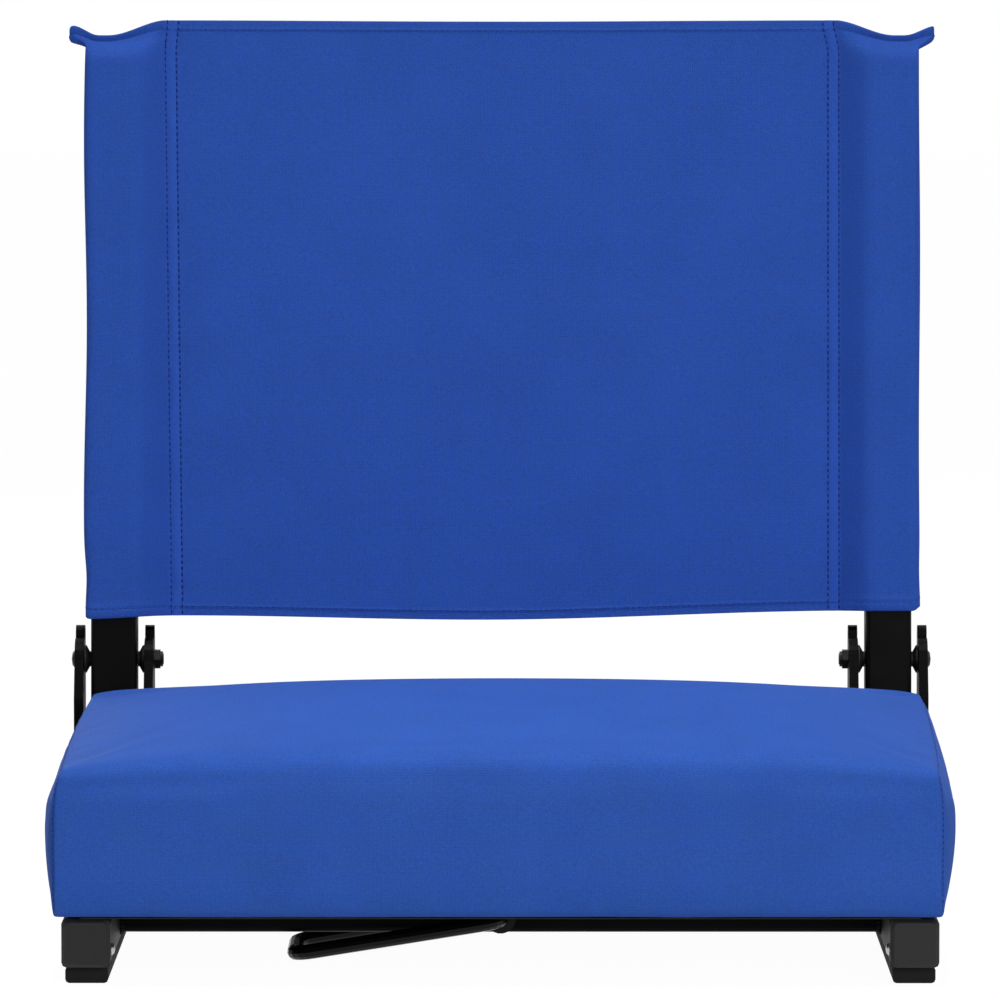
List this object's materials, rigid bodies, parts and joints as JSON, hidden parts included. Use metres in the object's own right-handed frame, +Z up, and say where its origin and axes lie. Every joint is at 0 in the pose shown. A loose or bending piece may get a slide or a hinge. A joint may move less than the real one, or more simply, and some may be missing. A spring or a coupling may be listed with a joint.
{
  "type": "folding bleacher seat",
  "caption": "Padded bleacher seat on a square-tube frame with a cloth back that folds forward over the cushion and a swinging bench hook under the seat.",
  "frame": {"origin": "middle of the bounding box, on the surface that the skids stand on", "axes": "+Z up, -Y towards the front of the seat, +X to the right as seen from the front"},
  "size_m": [0.4768, 0.3721, 0.4878],
  "materials": {
    "frame_paint": "semi-gloss black powder coat on steel tube and plate",
    "hook_paint": "gloss black paint on round steel rod",
    "black_hardware": "black oxide on steel fasteners",
    "bright_steel": "bright zinc plating",
    "cap_plastic": "moulded black polyethylene",
    "skid_rubber": "matt black rubber strip",
    "seat_fabric": "woven royal blue polyester canvas",
    "back_fabric": "woven royal blue polyester canvas",
    "under_cloth": "black non-woven dust cloth",
    "foam": "open-cell polyurethane foam",
    "plywood": "plain plywood"
  },
  "bodies": {
    "base": {"left_rail": "frame_paint", "right_rail": "frame_paint", "left_skid": "skid_rubber", "right_skid": "skid_rubber", "front_left_cap": "cap_plastic", "front_right_cap": "cap_plastic", "rear_left_cap": "cap_plastic", "rear_right_cap": "cap_plastic", "front_left_rivet": "bright_steel", "front_right_rivet": "bright_steel", "rear_left_rivet": "bright_steel", "rear_right_rivet": "bright_steel", "front_cross_bar": "frame_paint", "rear_cross_bar": "frame_paint", "front_left_seat_screw": "bright_steel", "front_right_seat_screw": "bright_steel", "rear_left_seat_screw": "bright_steel", "rear_right_seat_screw": "bright_steel", "seat_board": "plywood", "seat_foam": "foam", "seat_cover": "seat_fabric", "dust_cloth": "under_cloth", "left_hinge_bracket": "frame_paint", "right_hinge_bracket": "frame_paint", "left_hinge_bolt": "black_hardware", "right_hinge_bolt": "black_hardware", "left_lock_nut": "black_hardware", "right_lock_nut": "black_hardware", "left_outer_spacer": "cap_plastic", "left_inner_spacer": "cap_plastic", "right_outer_spacer": "cap_plastic", "right_inner_spacer": "cap_plastic"},
    "backrest": {"left_post": "frame_paint", "right_post": "frame_paint", "left_post_top_plug": "cap_plastic", "right_post_top_plug": "cap_plastic", "left_post_foot_plug": "cap_plastic", "right_post_foot_plug": "cap_plastic", "cloth_back": "back_fabric"},
    "hook": {"bench_hook": "hook_paint", "hook_front_washer": "black_hardware", "hook_rear_washer": "black_hardware", "hook_push_nut": "bright_steel"}
  },
  "joints": [
    {"name": "back_fold", "type": "hinge", "parent": "base", "child": "backrest", "pos_m": [0, 0.14916, 0.139], "axis": [1, 0, 0], "range_deg": [0, 90]},
    {"name": "hook_swing", "type": "hinge", "parent": "base", "child": "hook", "pos_m": [0, -0.0483, 0.0215], "axis": [0, 1, 0], "range_deg": [-164, 2]}
  ]
}
